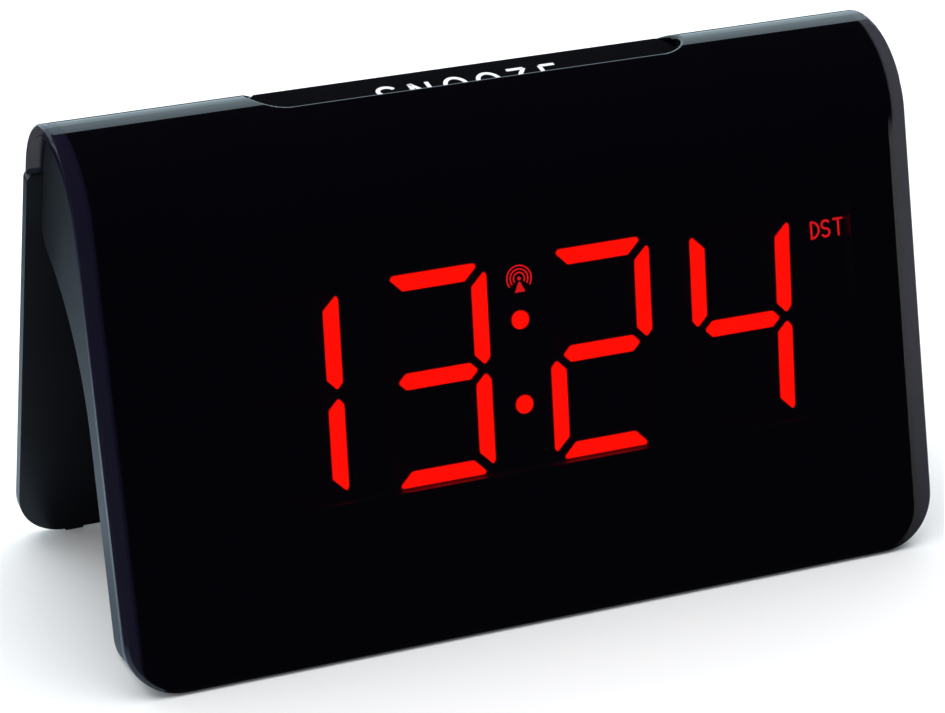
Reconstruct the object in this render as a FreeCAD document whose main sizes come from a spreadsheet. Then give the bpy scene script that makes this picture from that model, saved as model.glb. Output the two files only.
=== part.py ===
"""Bedside alarm clock: a folded A-frame with a large red display and a snooze key in its top edge.

Millimetres. +X is the right hand of someone reading the clock, +Z is up and the display faces -Y.
The origin is on the table, under the middle of the clock's box.

Two leaning frames are used beside the clock's own:
  front frame  x along the clock, y is the depth behind the outer face, z runs up the leaning face
  rear frame   x along the clock, y points out of the rear cover, z runs up the leaning cover
"""
import FreeCAD, Part
import math
import os
import Sketcher

Vector = FreeCAD.Vector
doc = FreeCAD.newDocument("AlarmClock")

# ---------------------------------------------------------------- driving dimensions
sheet = doc.addObject("Spreadsheet::Sheet", "Sizes")
SIZES = {
    # the whole clock
    "width": 185, "depth": 83, "height": 109.4, "front_lean": 13.8, "rear_lean": 13.6,
    "apex_back": 1.4, "foot_drop": 0.6,
    # front shell
    "shell_wall": 2.2, "shell_corner": 12, "shell_round": 0.9, "lip_round": 0.8, "seam_height": 94.6,
    # housing and back plate
    "shell_gap": 0.1, "end_inset": 3.3, "front_wall": 1.6, "side_wall": 2, "back_wall": 2,
    "leg_depth": 19.6, "hollow_start": 51, "hollow_radius": 48, "heel_radius": 5,
    "plate_gap": 0.1, "housing_corner": 8.7, "plate_top": 95,
    # rear cover
    "cover_wall": 3, "cover_step": 1.1, "cover_corner": 11, "cover_start": 0.74, "cover_length": 96,
    # snooze key
    "key_length": 97, "key_width": 14, "key_back": 3.76, "key_gap": 0.4, "key_recess": 0.15,
    "key_tilt": 10, "key_crease_back": 9, "key_crease_height": 107.4,
    "key_wall": 1.6, "key_roof": 104, "key_foot": 98.2, "key_flange": 1, "key_lip": 0.6,
    "carrier_low": 93.5, "carrier_thick": 1.5, "carrier_half": 61,
    "carrier_screw": 57.5, "spring_place": 30, "spring_radius": 2.75, "spring_wire": 0.5,
    # display
    "digit_plane": 6, "digit_half_width": 10.1, "digit_half_height": 20.7, "digit_middle": 54.5,
    "stroke": 3.5, "segment_gap": 1.4, "slant": 0.042, "segment_depth": 5.5,
    "colon_place": 1.4, "colon_half": 9, "colon_dot": 4, "icon_depth": 2,
    "module_left": -78, "module_right": 80.5, "module_low": 30.2, "module_high": 81,
    "module_depth": 12.5, "board_thick": 1.6, "board_left": -84.5, "board_right": 86.5,
    # circuit boards in the arch
    "main_level": 82.5, "main_half": 72, "main_front": -13, "main_back": 2,
    # controls in the rear cover
    "control_height": 88.4, "button_length": 10, "button_width": 5, "button_proud": 1.2,
    "button_travel": 0.8, "button_gap": 0.25, "slide_travel": 4.5, "slide_place": 58,
    "keyboard_face": 12, "keyboard_half": 70,
    # power and backup
    "socket_place": 62, "socket_up": 13.5, "cell_up": 20.1, "cap_radius": 12.4, "cap_thick": 1.1,
    "well_radius": 10.9, "well_floor": 14.3, "buzzer_place": -50, "buzzer_up": 17,
    "back_screw_up": 12,
}
for row, (alias, number) in enumerate(SIZES.items(), 1):
    sheet.set("A%d" % row, alias)
    sheet.set("B%d" % row, str(number))
    sheet.setAlias("B%d" % row, alias)
doc.recompute()


def value(formula):
    """A sheet formula such as 'width / 2' worked out as a number."""
    return float(formula) if isinstance(formula, (int, float)) else float(sheet.evalExpression(formula))


def bound(formula):
    """The same formula written for another object's expression: each alias gains the sheet's name."""
    words = []
    for word in str(formula).replace("(", " ( ").replace(")", " ) ").split():
        words.append("Sizes." + word if word in SIZES else word)
    return " ".join(words)


HALF_WIDTH = value("width / 2")
HALF_DEPTH = value("depth / 2")
DROP = value("foot_drop")
FRONT = math.radians(value("front_lean"))
REAR = math.radians(value("rear_lean"))
APEX = value("apex_back")
TOP = value("height")

CLOCK = FreeCAD.Placement()
FRONT_FRAME = FreeCAD.Placement(Vector(0, -HALF_DEPTH, DROP),
                                FreeCAD.Rotation(Vector(1, 0, 0), -value("front_lean")))
REAR_FRAME = FreeCAD.Placement(Vector(0, HALF_DEPTH, DROP),
                               FreeCAD.Rotation(Vector(1, 0, 0), value("rear_lean")))

nodes = {}


# ---------------------------------------------------------------- ways of making a piece
def plane_of(body, role):
    return next(plane for plane in body.Origin.OriginFeatures if plane.Role == role)


def new_body(label, frame=CLOCK):
    """An empty PartDesign body that stands in one of the three frames."""
    body = doc.addObject("PartDesign::Body", label)
    body.Label = label
    body.AllowCompound = True
    body.Placement = frame
    nodes[label] = body
    return body


def sketch_at(body, role, height=0):
    """A sketch on one of the body's own planes, lifted along that plane's normal."""
    sketch = body.newObject("Sketcher::SketchObject", body.Label + "_sketch")
    sketch.AttachmentSupport = (plane_of(body, role), "")
    sketch.MapMode = "FlatFace"
    sketch.setExpression("AttachmentOffset.Base.z", bound(height))
    return sketch


def pin_point(sketch, geometry, point, x, y):
    """Hold a point of the sketch at a place given by two sheet formulas."""
    for kind, formula in (("DistanceX", x), ("DistanceY", y)):
        place = sketch.addConstraint(Sketcher.Constraint(kind, -1, 1, geometry, point, value(formula)))
        sketch.setExpression("Constraints[%d]" % place, bound(formula))


def polygon(sketch, corners):
    """A closed outline of straight edges with every corner held by the sheet."""
    points = [Vector(value(x), value(y), 0) for x, y in corners]
    first = sketch.GeometryCount
    count = len(points)
    for i in range(count):
        sketch.addGeometry(Part.LineSegment(points[i], points[(i + 1) % count]))
    for i in range(count):
        sketch.addConstraint(Sketcher.Constraint("Coincident", first + i, 2, first + (i + 1) % count, 1))
        pin_point(sketch, first + i, 1, *corners[i])


def rectangle(sketch, left, right, low, high):
    polygon(sketch, [(left, low), (right, low), (right, high), (left, high)])


def circle(sketch, x, y, radius):
    centre = Vector(value(x), value(y), 0)
    ring = sketch.addGeometry(Part.Circle(centre, Vector(0, 0, 1), value(radius)))
    pin_point(sketch, ring, 3, x, y)
    place = sketch.addConstraint(Sketcher.Constraint("Radius", ring, value(radius)))
    sketch.setExpression("Constraints[%d]" % place, bound(radius))


def pad(body, sketch, length, name="pad"):
    feature = body.newObject("PartDesign::Pad", body.Label + "_" + name)
    feature.Profile = sketch
    feature.setExpression("Length", bound(length))
    body.Tip = feature
    return feature


def pocket(body, sketch, length, name="pocket"):
    """Cut from the sketch's plane along its normal, and prove that something was removed."""
    doc.recompute()
    before = body.Shape.Volume
    feature = body.newObject("PartDesign::Pocket", body.Label + "_" + name)
    feature.Profile = sketch
    feature.Reversed = True
    feature.setExpression("Length", bound(length))
    body.Tip = feature
    doc.recompute()
    if body.Shape.Volume >= before - 0.001:
        raise RuntimeError("%s cut nothing" % feature.Name)
    return feature


def sheet_metal(body, near, far, outline, name="pad"):
    """A pad from depth near to depth far in a leaning frame, its outline drawn by a function."""
    sketch = sketch_at(body, "XZ_Plane", "-1 * ( %s )" % far)
    outline(sketch)
    return pad(body, sketch, "( %s ) - ( %s )" % (far, near), name)


def cut_depth(body, near, far, outline, name="pocket"):
    sketch = sketch_at(body, "XZ_Plane", "-1 * ( %s )" % far)
    outline(sketch)
    return pocket(body, sketch, "( %s ) - ( %s )" % (far, near), name)


def level_pad(body, low, high, outline, name="pad"):
    """A pad between two heights of the clock's own frame."""
    sketch = sketch_at(body, "XY_Plane", low)
    outline(sketch)
    return pad(body, sketch, "( %s ) - ( %s )" % (high, low), name)


def level_cut(body, low, high, outline, name="pocket"):
    sketch = sketch_at(body, "XY_Plane", low)
    outline(sketch)
    return pocket(body, sketch, "( %s ) - ( %s )" % (high, low), name)


def shaped(label, shape, frame=CLOCK):
    """A piece whose form comes from Part's own functions, read from the sheet by the code above it."""
    piece = doc.addObject("Part::Feature", label)
    piece.Label = label
    piece.Shape = shape
    piece.Placement = frame
    nodes[label] = piece
    return piece


def block(left, right, near, far, low, high):
    return Part.makeBox(right - left, far - near, high - low, Vector(left, near, low))


def rod(radius, start, direction, length):
    return Part.makeCylinder(radius, length, Vector(*start), Vector(*direction))


def in_clock(shape, frame):
    """A shape drawn in a leaning frame, carried into the clock's frame."""
    moved = shape.copy()
    moved.Placement = frame.multiply(moved.Placement)
    return moved


def in_frame(shape, frame):
    """A shape drawn in the clock's frame, carried into a leaning frame."""
    return in_clock(shape, frame.inverse())


# ---------------------------------------------------------------- the arch in side view
front_reach = (APEX + HALF_DEPTH) * math.cos(FRONT) - (TOP - DROP) * math.sin(FRONT)
FRONT_RADIUS = front_reach / (1 - math.sin(FRONT))
REAR_RADIUS = ((HALF_DEPTH - APEX) * math.cos(REAR) - (TOP - DROP) * math.sin(REAR)
               - value("cover_step")) / (1 - math.sin(REAR))


def front_line(height, inset):
    """The point at a height on the leaning face moved in by inset: (y, z)."""
    return (-HALF_DEPTH + inset / math.cos(FRONT) + (height - DROP) * math.tan(FRONT), height)


def rear_line(height, inset):
    """The point at a height on the shell's rear line moved in by inset: (y, z)."""
    inset = inset + value("cover_step")
    return (HALF_DEPTH - inset / math.cos(REAR) - (height - DROP) * math.tan(REAR), height)


def arch_point(inset, turn):
    """A point of the arch; turn is measured from the top, negative towards the front."""
    radius = FRONT_RADIUS if turn < 0 else REAR_RADIUS
    return (APEX + (radius - inset) * math.sin(turn), TOP - radius + (radius - inset) * math.cos(turn))


FRONT_TURN = -(math.pi / 2 - FRONT)
REAR_TURN = math.pi / 2 - REAR


def line(a, b, x):
    return Part.LineSegment(Vector(x, *a), Vector(x, *b)).toShape()


def arc(a, b, c, x):
    return Part.Arc(Vector(x, *a), Vector(x, *b), Vector(x, *c)).toShape()


def arch_edges(x, front_foot, inset, rear_inset, rear_foot):
    """Edges from the foot of the face, over the top and down to a height on the rear line."""
    start = front_line(front_foot, inset)
    front_join = arch_point(inset, FRONT_TURN)
    crest = arch_point(inset, 0)
    rear_join = arch_point(rear_inset, REAR_TURN)
    rear_crest = arch_point(rear_inset, 1e-9)
    edges = [line(start, front_join, x), arc(front_join, arch_point(inset, FRONT_TURN / 2), crest, x)]
    if abs(rear_crest[1] - crest[1]) > 1e-6:
        edges.append(line(crest, rear_crest, x))
    edges.append(arc(rear_crest, arch_point(rear_inset, REAR_TURN / 2), rear_join, x))
    edges.append(line(rear_join, rear_line(rear_foot, rear_inset), x))
    return edges


def prism(edges, length):
    face = Part.Face(Part.Wire(Part.__sortEdges__(edges)))
    return face.extrude(Vector(length, 0, 0))


def front_outline(half_width, corner, near, far):
    """A slab in the front frame with the two lower corners rounded, used to trim the front leg."""
    tall = TOP * 1.3
    flat = half_width - corner
    bevel = corner * (1 - math.cos(math.pi / 4))
    points = [Vector(-half_width, 0, tall), Vector(-half_width, 0, corner), Vector(-flat, 0, 0),
              Vector(flat, 0, 0), Vector(half_width, 0, corner), Vector(half_width, 0, tall)]
    left = Part.Arc(points[1], Vector(-half_width + bevel, 0, bevel), points[2]).toShape()
    right = Part.Arc(points[3], Vector(half_width - bevel, 0, bevel), points[4]).toShape()
    edges = [Part.makeLine(points[0], points[1]), left, Part.makeLine(points[2], points[3]), right,
             Part.makeLine(points[4], points[5]), Part.makeLine(points[5], points[0])]
    slab = Part.Face(Part.Wire(edges)).extrude(Vector(0, far - near, 0))
    slab.translate(Vector(0, near, 0))
    return in_clock(slab, FRONT_FRAME)


def key_opening(grow, low, high):
    """The snooze key's obround as a solid column between two heights."""
    half = value("key_length / 2") + grow
    radius = value("key_width / 2") + grow
    middle = value("key_back")
    column = block(-half + radius, half - radius, middle - radius, middle + radius, low, high)
    for side in (-1, 1):
        column = column.fuse(rod(radius, (side * (half - radius), middle, low), (0, 0, 1), high - low))
    return column.removeSplitter()


# ---------------------------------------------------------------- front shell
def shell_inset(point):
    """How far inside the shell's outer surface a point of the side view lies."""
    y, z = point
    front = (y + HALF_DEPTH) * math.cos(FRONT) - (z - DROP) * math.sin(FRONT)
    if z < TOP - FRONT_RADIUS * (1 - math.sin(FRONT)) and y < APEX:
        return front
    radius = FRONT_RADIUS if y < APEX else REAR_RADIUS
    return radius - math.hypot(y - APEX, z - TOP + radius)


def make_front_shell():
    wall = value("shell_wall")
    seam = value("seam_height")
    below = DROP - 6
    outer = arch_edges(-HALF_WIDTH, below, 0, 0, seam)
    inner = arch_edges(-HALF_WIDTH, below, wall, wall, seam)
    ends = [line(front_line(below, 0), front_line(below, wall), -HALF_WIDTH),
            line(rear_line(seam, 0), rear_line(seam, wall), -HALF_WIDTH)]
    shell = prism(outer + inner + ends, 2 * HALF_WIDTH)
    shell = shell.common(front_outline(HALF_WIDTH, value("shell_corner"), -5, 120))
    shell = shell.cut(key_opening(0, TOP - 12, TOP + 5))
    rounded = [edge for edge in shell.Edges if on_outer_rim(edge)]
    shell = shell.makeFillet(value("shell_round"), rounded)
    lip = [edge for edge in shell.Edges if on_opening_lip(edge)]
    return shell.makeFillet(value("lip_round"), lip)


def on_opening_lip(edge):
    """True for the outer edges round the key's opening."""
    first, last = edge.ParameterRange
    points = [edge.valueAt(first + share * (last - first)) for share in (0.1, 0.5, 0.9)]
    return all(abs(shell_inset((point.y, point.z))) < 0.02 and abs(point.x) < value("key_length / 2") + 0.05
               for point in points)


def on_outer_rim(edge):
    """True for the long outer edges at the shell's two ends and along its foot."""
    first, last = edge.ParameterRange
    for share in (0.1, 0.5, 0.9):
        point = edge.valueAt(first + share * (last - first))
        if abs(shell_inset((point.y, point.z))) > 0.02 or abs(point.x) < HALF_WIDTH - 0.01 and point.z > 20:
            return False
    return True


shaped("front_shell", make_front_shell())


# ---------------------------------------------------------------- housing and back plate
def back_edges(rear_inset, offset, foot):
    """Edges down the rear line, round the heel, up the hollow underside and down the leg's back."""
    cos_f, sin_f = math.cos(FRONT), math.sin(FRONT)
    cos_r, sin_r = math.cos(REAR), math.sin(REAR)
    depth = value("leg_depth") - offset
    start = value("hollow_start")
    hollow = value("hollow_radius") + offset
    heel = value("heel_radius") - offset
    inset = rear_inset + value("cover_step")
    base = value("leg_depth") + value("hollow_radius")
    centre = (-HALF_DEPTH + start * sin_f + base * cos_f, DROP + start * cos_f - base * sin_f)
    rear_wall = HALF_DEPTH * cos_r + DROP * sin_r - inset
    reach = (centre[0] * cos_r + centre[1] * sin_r - rear_wall + heel) / (hollow + heel)
    turn = math.acos(reach) - REAR

    def around(point, radius, angle):
        return (point[0] - radius * math.cos(angle), point[1] + radius * math.sin(angle))

    heel_centre = around(centre, hollow + heel, turn)
    heel_top = (heel_centre[0] + heel * cos_r, heel_centre[1] + heel * sin_r)
    heel_low = around(centre, hollow, turn)
    halfway = (REAR - turn) / 2
    heel_middle = (heel_centre[0] + heel * math.cos(halfway), heel_centre[1] + heel * math.sin(halfway))
    hollow_start = around(centre, hollow, FRONT)
    hollow_middle = around(centre, hollow, (FRONT + turn) / 2)
    foot_point = (-HALF_DEPTH + depth / cos_f + (foot - DROP) * math.tan(FRONT), foot)
    return heel_top, heel_middle, heel_low, hollow_middle, hollow_start, foot_point


def housing_outline(x, front_inset, rear_inset, offset, foot):
    """The closed side view of the housing: face, arch, rear wall, hollow underside and foot."""
    heel_top, heel_middle, heel_low, hollow_middle, hollow_start, foot_point = back_edges(
        rear_inset, offset, foot)
    edges = arch_edges(x, foot, front_inset, rear_inset, heel_top[1])
    edges.append(arc(heel_top, heel_middle, heel_low, x))
    edges.append(arc(heel_low, hollow_middle, hollow_start, x))
    edges.append(line(hollow_start, foot_point, x))
    edges.append(line(foot_point, front_line(foot, front_inset), x))
    return edges


SKIN = value("shell_wall + shell_gap")
CAVITY = SKIN + value("front_wall")
HOUSING_HALF = HALF_WIDTH - value("end_inset")
INNER_HALF = HOUSING_HALF - value("side_wall")
PLATE_HALF = INNER_HALF - value("plate_gap")
FOOT_WALL = DROP + value("back_wall")
outer_solid = prism(housing_outline(-HOUSING_HALF, SKIN, SKIN, 0, DROP), 2 * HOUSING_HALF)
outer_solid = outer_solid.common(front_outline(HOUSING_HALF, value("housing_corner"), -5, 120))
BACK_WALL = value("back_wall")
cavity_profile = housing_outline(-INNER_HALF, CAVITY, SKIN + BACK_WALL, BACK_WALL, FOOT_WALL)
cavity_solid = prism(cavity_profile, 2 * INNER_HALF)
cavity_solid = cavity_solid.common(front_outline(INNER_HALF, value("housing_corner - side_wall"), -5, 120))


def back_region(half, grow):
    """The space behind the front leg's middle and under the plate's top edge, where the plate goes."""
    low = FOOT_WALL + 0.1 - grow
    high = value("plate_top") + grow
    corners = [front_line(low, 10 - grow), front_line(high, 10 - grow)]
    corners += [(HALF_DEPTH, high), (HALF_DEPTH, low)]
    edges = [line(corners[i], corners[(i + 1) % 4], -half) for i in range(4)]
    return prism(edges, 2 * half)


BOSS_PLACES = (-84, -24, 30, 84)
POST_PLACES = ((-81.5, 34), (-81.5, 77), (83.8, 34), (83.8, 77))
FOOT_PLACES = (-68, 68)
CONTROL_HEIGHT = value("control_height")
KEYBOARD_POSTS = (-45, 43.4)
COVER_POSTS = (-82, 0, 82)
MAIN_POSTS = (-66, 66)
BUTTONS = {"time_button": -56, "alarm_button": -34, "down_button": -12, "up_button": 12,
           "dimmer_button": 34}


def make_housing():
    housing = outer_solid.cut(cavity_solid)
    opening = outer_solid.common(back_region(INNER_HALF, 0.1))
    opening = opening.common(front_outline(INNER_HALF, value("housing_corner - side_wall"), -5, 120))
    housing = housing.cut(opening)
    window = block(value("module_left") + 2, value("module_right") - 2, 0, CAVITY + 1,
                   value("module_low") + 2, value("module_high") - 2)
    housing = housing.cut(in_clock(window, FRONT_FRAME))
    housing = housing.cut(key_opening(0.2, TOP - 14, TOP + 5))
    posts = []
    for x in BOSS_PLACES:
        post = rod(2.5, (x, CAVITY - 0.5, value("back_screw_up")), (0, 1, 0), 17.5 - CAVITY + 0.5)
        posts.append(in_clock(post, FRONT_FRAME))
    for x, up in POST_PLACES:
        post = rod(2, (x, CAVITY - 0.5, up), (0, 1, 0), value("module_depth") - CAVITY + 0.5)
        posts.append(in_clock(post, FRONT_FRAME))
    for side in (-1, 1):
        low = value("carrier_low + carrier_thick")
        post = rod(2.5, (side * value("carrier_screw"), value("key_back"), low), (0, 0, 1), TOP - low)
        posts.append(post.common(outer_solid))
    housing = housing.fuse(posts).removeSplitter()
    for x in BOSS_PLACES:
        hole = rod(1.1, (x, 9.5, value("back_screw_up")), (0, 1, 0), 9)
        housing = housing.cut(in_clock(hole, FRONT_FRAME))
    for x, up in POST_PLACES:
        hole = rod(1.0, (x, 6.5, up), (0, 1, 0), 7)
        housing = housing.cut(in_clock(hole, FRONT_FRAME))
    for side in (-1, 1):
        low = value("carrier_low + carrier_thick")
        hole = rod(1.1, (side * value("carrier_screw"), value("key_back"), low), (0, 0, 1), 6)
        housing = housing.cut(hole)
    for x in FOOT_PLACES:
        housing = housing.cut(foot_pad(x))
    return housing


def foot_pad(x):
    """A rubber pad under the front leg, set one millimetre into the housing's floor."""
    pad_shape = block(x - 8, x + 8, -36, -28, 0, DROP + 1)
    uprights = [edge for edge in pad_shape.Edges if abs(edge.tangentAt(0).z) > 0.9]
    return pad_shape.makeFillet(1.5, uprights)


def control_hole(x, length, height, near, far):
    """An obround hole in the rear frame from depth near to far inside the cover's outer face."""
    radius = height / 2
    flat = length / 2 - radius
    hole = block(x - flat, x + flat, -far, -near, CONTROL_HEIGHT - radius, CONTROL_HEIGHT + radius)
    for side in (-1, 1):
        hole = hole.fuse(rod(radius, (x + side * flat, -far, CONTROL_HEIGHT), (0, 1, 0), far - near))
    return hole.removeSplitter()


def control_holes(near, far):
    gap = value("2 * button_gap")
    holes = [control_hole(x, value("button_length") + gap, value("button_width") + gap, near, far)
             for x in BUTTONS.values()]
    holes.append(control_hole(value("slide_place"), 6 + value("slide_travel") + gap, 4 + gap, near, far))
    return holes


def well_shapes():
    """The coin-cell well in the front frame: its cup and everything that is cut out of it."""
    up = value("cell_up")
    back = value("leg_depth")
    radius = value("well_radius")
    floor = value("well_floor")
    cup = rod(radius + 2.4, (0, floor, up), (0, 1, 0), back - floor - 0.5)
    recess = rod(value("cap_radius") + 0.3, (0, back - 1.2, up), (0, 1, 0), 2)
    well = rod(radius, (0, floor + 0.7, up), (0, 1, 0), back - floor)
    groove = rod(radius + 1.3, (0, back - 3.2, up), (0, 1, 0), 1.2)
    cuts = [recess, well, groove]
    for turn in (45, 225):
        cuts.append(sector(radius - 1, radius + 1.3, back - 3.2, back, turn - 12, turn + 12, up))
    return cup, cuts


def sector(inner, outer, near, far, start, stop, up):
    """A piece of a ring about the cell's axis; angles are turned about the depth axis."""
    face_points = []
    for radius in (inner, outer):
        row = []
        for angle in (start, (start + stop) / 2, stop):
            a = math.radians(angle)
            row.append(Vector(radius * math.cos(a), near, up + radius * math.sin(a)))
        face_points.append(row)
    inside, outside = face_points
    edges = [Part.Arc(*inside).toShape(), Part.makeLine(inside[2], outside[2]),
             Part.Arc(*outside[::-1]).toShape(), Part.makeLine(outside[0], inside[0])]
    return Part.Face(Part.Wire(edges)).extrude(Vector(0, far - near, 0))


def make_back_plate():
    ring = outer_solid.cut(cavity_solid)
    plate = ring.common(back_region(PLATE_HALF, 0))
    plate = plate.common(front_outline(PLATE_HALF, value("housing_corner - side_wall"), -5, 120))
    posts = []
    for x in KEYBOARD_POSTS:
        post = rod(2, (x, -value("keyboard_face"), CONTROL_HEIGHT), (0, 1, 0), 7.6)
        posts.append(in_clock(post, REAR_FRAME))
    for x in MAIN_POSTS:
        post = rod(2.5, (x, -2, 50), (0, 0, 1), value("main_level") - 50)
        posts.append(post.common(outer_solid))
    cup, cuts = well_shapes()
    posts.append(in_clock(cup, FRONT_FRAME))
    plate = plate.fuse(posts).removeSplitter()
    cuts = [in_clock(cut, FRONT_FRAME) for cut in cuts]
    up = value("back_screw_up")
    back = value("leg_depth")
    for x in BOSS_PLACES:
        cuts.append(in_clock(rod(1.3, (x, back - 4, up), (0, 1, 0), 6), FRONT_FRAME))
        cuts.append(in_clock(rod(2.3, (x, back - 0.9, up), (0, 1, 0), 2), FRONT_FRAME))
    cuts.append(in_clock(rod(4.4, (value("socket_place"), back - 4, value("socket_up")), (0, 1, 0), 6),
                         FRONT_FRAME))
    for x, rise in sound_holes():
        cuts.append(in_clock(rod(0.8, (x, back - 4, rise), (0, 1, 0), 6), FRONT_FRAME))
    for hole in control_holes(2, 7):
        cuts.append(in_clock(hole, REAR_FRAME))
    for x in COVER_POSTS:
        cuts.append(in_clock(rod(3.2, (x, -7, CONTROL_HEIGHT), (0, 1, 0), 5), REAR_FRAME))
    for x in KEYBOARD_POSTS:
        cuts.append(in_clock(rod(0.9, (x, -12.5, CONTROL_HEIGHT), (0, 1, 0), 5.5), REAR_FRAME))
    for x in MAIN_POSTS:
        cuts.append(rod(0.9, (x, -2, value("main_level") - 7), (0, 0, 1), 8))
    return plate.cut(cuts)


def sound_holes():
    """Places of the buzzer's sound holes: one in the middle and six round it."""
    middle = (value("buzzer_place"), value("buzzer_up"))
    places = [middle]
    for i in range(6):
        angle = math.radians(60 * i)
        places.append((middle[0] + 3.4 * math.cos(angle), middle[1] + 3.4 * math.sin(angle)))
    return places


shaped("housing", make_housing())
shaped("back_plate", make_back_plate())


# ---------------------------------------------------------------- rear cover, which is also the rear leg
def make_rear_cover():
    half = HALF_WIDTH
    low = value("cover_start")
    high = low + value("cover_length")
    wall = value("cover_wall")
    cover = block(-half, half, -wall, 0, low, high)
    lower = [edge for edge in cover.Edges if is_upright(edge) and edge.CenterOfMass.z < 10]
    cover = cover.makeFillet(value("cover_corner"), lower)
    upper = [edge for edge in cover.Edges if is_upright(edge) and edge.CenterOfMass.z > 60]
    cover = cover.makeFillet(1.5, upper)
    face_edges = [edge for edge in cover.Edges if abs(edge.CenterOfMass.y) < 0.01]
    cover = cover.makeFillet(0.6, face_edges)
    cover = cover.cut(control_holes(-2, wall + 1))
    posts = [rod(3, (x, -9, CONTROL_HEIGHT), (0, 1, 0), 9 - wall + 0.5) for x in COVER_POSTS]
    cover = cover.fuse(posts).removeSplitter()
    return cover.cut([rod(1.1, (x, -10, CONTROL_HEIGHT), (0, 1, 0), 8) for x in COVER_POSTS])


def is_upright(edge):
    """True for an edge that runs along the frame's depth axis."""
    direction = edge.tangentAt(edge.FirstParameter)
    return abs(direction.y) > 0.99


shaped("rear_cover", make_rear_cover(), REAR_FRAME)


# ---------------------------------------------------------------- feet
shaped("front_feet", Part.makeCompound([foot_pad(x) for x in FOOT_PLACES]))
rear_pads = []
for x in (-79.5, 79.5):
    nub = in_frame(block(x - 2, x + 2, 30, 50, 0, 1.6), REAR_FRAME)
    nub = nub.common(block(x - 2, x + 2, -2.7, -0.4, -5, value("cover_start")))
    rear_pads.append(in_clock(nub, REAR_FRAME))
shaped("rear_feet", Part.makeCompound(rear_pads))


# ---------------------------------------------------------------- snooze key
def arch_dome(inset, half_length):
    """A solid under the arch's surface moved in by inset, used to shape the key's top."""
    edges = arch_edges(-half_length, 60, inset, inset, 60)
    edges.append(line(front_line(60, inset), rear_line(60, inset), -half_length))
    return prism(edges, 2 * half_length)


def make_snooze_key():
    foot = value("key_foot")
    flange = value("key_flange")
    roof = value("key_roof")
    gap = value("key_gap")
    key = key_opening(-gap, foot, TOP + 2).common(arch_dome(value("key_recess"), HALF_WIDTH))
    above = block(-HALF_WIDTH, HALF_WIDTH, -HALF_DEPTH, HALF_DEPTH, 0, TOP - roof)
    above.rotate(Vector(0, 0, 0), Vector(1, 0, 0), value("key_tilt"))
    above.translate(Vector(0, value("key_crease_back"), value("key_crease_height")))
    key = key.cut(above)
    key = key.fuse(key_opening(value("key_lip"), foot, foot + flange))
    key = key.cut(key_opening(-gap - value("key_wall"), foot - 1, roof))
    presser = rod(2.5, (0, value("key_back"), roof - 2.4), (0, 0, 1), 3)
    pegs = [rod(1.6, (side * value("spring_place"), value("key_back"), roof - 1.5), (0, 0, 1), 2)
            for side in (-1, 1)]
    return key.fuse([presser] + pegs).removeSplitter()


shaped("snooze_key", make_snooze_key())

carrier = new_body("snooze_carrier")
level_pad(carrier, "carrier_low", "carrier_low + carrier_thick",
          lambda s: rectangle(s, "-1 * carrier_half", "carrier_half", "key_back - 8.9", "key_back + 8.9"))
for place in ("-1 * carrier_screw", "carrier_screw"):
    level_cut(carrier, "carrier_low - 1", "carrier_low + carrier_thick + 1",
              lambda s: circle(s, place, "key_back", 1.3))

springs = []
for side in (-1, 1):
    wire = value("spring_wire / 2")
    low = value("carrier_low + carrier_thick") + wire
    free_height = value("key_roof") - wire - low
    helix = Part.makeHelix(free_height / 6, free_height, value("spring_radius"))
    section = [Vector(value("spring_radius") + wire * math.cos(turn), 0, wire * math.sin(turn))
               for turn in (math.radians(45 * side_number) for side_number in range(8))]
    start = Part.makePolygon(section + [section[0]])
    spring = Part.Wire(helix).makePipeShell([start], True, True)
    spring.translate(Vector(side * value("spring_place"), value("key_back"), low))
    springs.append(spring)
shaped("snooze_springs", Part.makeCompound(springs))

snooze_board = new_body("snooze_board")
level_pad(snooze_board, "carrier_low + carrier_thick", "carrier_low + carrier_thick + 1",
          lambda s: rectangle(s, -9, 9, "key_back - 6", "key_back + 6"))

snooze_switch = new_body("snooze_switch")
level_pad(snooze_switch, "carrier_low + carrier_thick + 1", "carrier_low + carrier_thick + 4.5",
          lambda s: rectangle(s, -3, 3, "key_back - 3", "key_back + 3"))
level_pad(snooze_switch, "carrier_low + carrier_thick + 4.5", "carrier_low + carrier_thick + 5.3",
          lambda s: circle(s, 0, "key_back", 1.7), "plunger")


# ---------------------------------------------------------------- display
DIGIT_PLACES = (-50.5, -17.6, 19.7, 52.9)
LIT = ("bc", "abcdg", "abdeg", "bcfg")


def segment_corners(name):
    """Corners of one of the seven segments about the digit's middle, before the slant."""
    w = value("digit_half_width")
    h = value("digit_half_height")
    t = value("stroke / 2")
    cut = value("segment_gap")
    top_bar = [(-w + 1, h + t), (w - 1, h + t), (w - 0.45, h + t - 0.8), (w - t - cut, h - t),
               (-w + t + cut, h - t), (-w + 0.45, h + t - 0.8)]
    middle_bar = [(-w + t + 1.15, t), (w - t - 1.15, t), (w - t + 0.4, 0.25), (w - t + 0.4, -0.25),
                  (w - t - 1.15, -t), (-w + t + 1.15, -t), (-w + t - 0.4, -0.25), (-w + t - 0.4, 0.25)]
    upright = [(w - t, t + cut), (w + 0.25, 1.1), (w + 0.7, 1.1), (w + t, 2.35), (w + t, h - 1.1),
               (w + 1.35, h - 0.45), (w + 1.0, h - 0.45), (w - t, h - t - cut)]
    if name == "a":
        return top_bar
    if name == "d":
        return [(x, -y) for x, y in top_bar]
    if name == "g":
        return middle_bar
    across = 1 if name in "bc" else -1
    upwards = 1 if name in "bf" else -1
    return [(across * x, upwards * y) for x, y in upright]


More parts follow.
